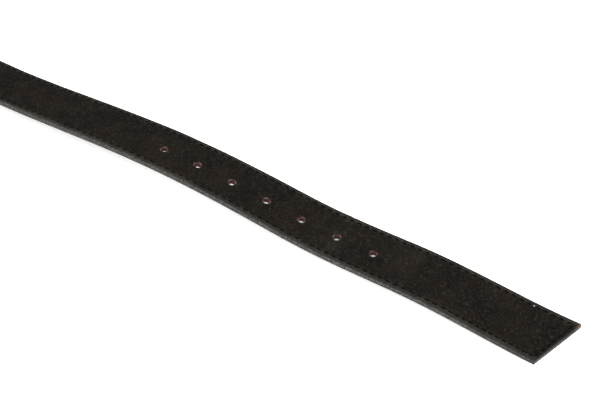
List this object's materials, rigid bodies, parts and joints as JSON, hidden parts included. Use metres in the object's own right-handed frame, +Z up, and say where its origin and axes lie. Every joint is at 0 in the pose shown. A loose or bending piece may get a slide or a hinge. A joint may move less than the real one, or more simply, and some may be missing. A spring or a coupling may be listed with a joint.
{
  "type": "leather belt",
  "caption": "Suede leather belt, unfastened: punched tail with a slanted tip lies flat, the buckle end stands on edge with its buckle, prong and keepers.",
  "frame": {"origin": "on the table, under the axis of the buckle's heel bar", "axes": "+Z up, along the heel bar; +X along the strap's straight tail toward its tip; the belt lies open toward +X"},
  "size_m": [0.6923, 0.2278, 0.05],
  "materials": {
    "suede": "matte suede, very dark brown-black",
    "filler": "raw reddish-brown",
    "lining": "smooth, low sheen",
    "thread": "waxed thread",
    "buckle_metal": "satin nickel plate",
    "bar_steel": "satin"
  },
  "bodies": {
    "strap": {"strap_face": "suede", "strap_core": "filler", "strap_lining": "lining", "face_thread": "thread", "lining_thread": "thread", "fixed_keeper_face": "suede", "fixed_keeper_lining": "lining", "fixed_keeper_staple": "bar_steel", "bar_side_post": "buckle_metal", "bar_side_screw": "buckle_metal", "strap_side_post": "buckle_metal", "strap_side_screw": "buckle_metal"},
    "buckle": {"buckle_frame": "buckle_metal", "heel_bar": "bar_steel"},
    "prong": {"prong": "buckle_metal"},
    "sliding_keeper": {"sliding_keeper_face": "suede", "sliding_keeper_lining": "lining", "sliding_keeper_staple": "bar_steel"}
  },
  "joints": [
    {"name": "buckle_swing", "type": "hinge", "parent": "strap", "child": "buckle", "pos_m": [0, 0, 0.025], "axis": [0, 0, 1], "range_deg": [-30, 120]},
    {"name": "prong_swing", "type": "hinge", "parent": "buckle", "child": "prong", "pos_m": [0, 0, 0.025], "axis": [0, 0, -1], "range_deg": [0, 80]},
    {"name": "keeper_slide", "type": "slide", "parent": "strap", "child": "sliding_keeper", "axis": [-1, 0, 0], "range_m": [-0.018, 0.072]}
  ]
}
